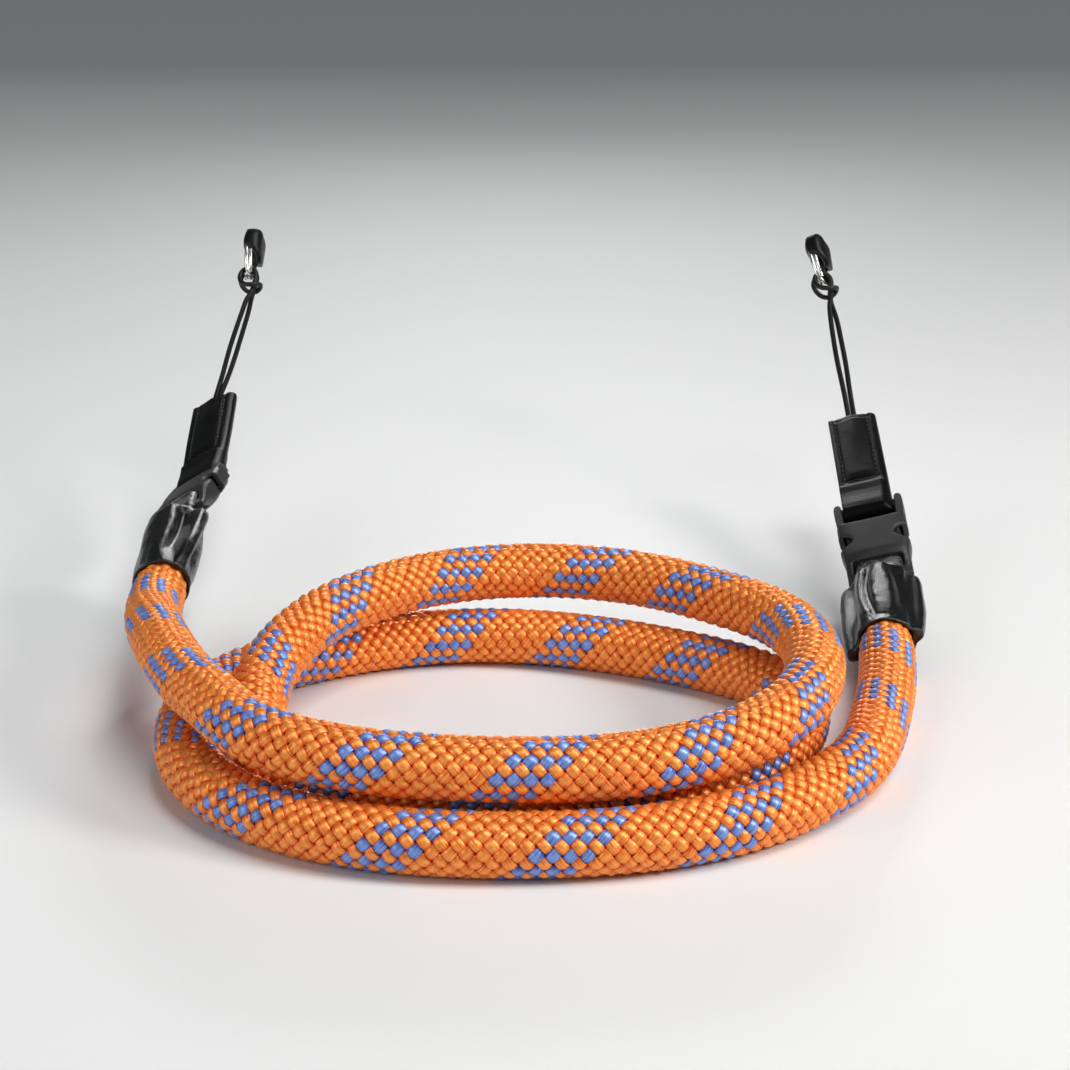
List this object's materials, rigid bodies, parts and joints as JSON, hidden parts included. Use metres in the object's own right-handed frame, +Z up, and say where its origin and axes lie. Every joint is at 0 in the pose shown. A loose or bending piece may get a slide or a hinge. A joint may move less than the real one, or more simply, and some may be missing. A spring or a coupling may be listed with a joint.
{
  "type": "coiled braided camera strap",
  "caption": "Round braided rope strap lying in a loose coil, with gathered leather end caps, small side release buckles, folded leather tabs and thin cord loops hitched to split rings.",
  "frame": {"origin": "on the surface that the coil rests on, at the middle of the strap's outline seen from above", "axes": "+Z up, +Y from the coil towards the strap's two raised ends, +X from the left end to the right end"},
  "size_m": [0.1458, 0.2235, 0.055],
  "materials": {
    "rope": "braided orange polyester yarns with blue accent yarns, soft sheen",
    "leather": "semi-gloss black",
    "plastic": "matte dark grey",
    "cord": "thin black braided cord",
    "wire": "bright silver"
  },
  "bodies": {
    "root": {"braided_rope": "rope", "left_rope_cap": "leather", "right_rope_cap": "leather", "left_buckle_socket": "plastic", "right_buckle_socket": "plastic", "left_buckle_plug": "plastic", "right_buckle_plug": "plastic", "left_leather_tab": "leather", "right_leather_tab": "leather", "left_lug_cord": "cord", "right_lug_cord": "cord", "left_split_ring": "wire", "right_split_ring": "wire", "left_ring_cover": "leather", "right_ring_cover": "leather"}
  },
  "joints": []
}
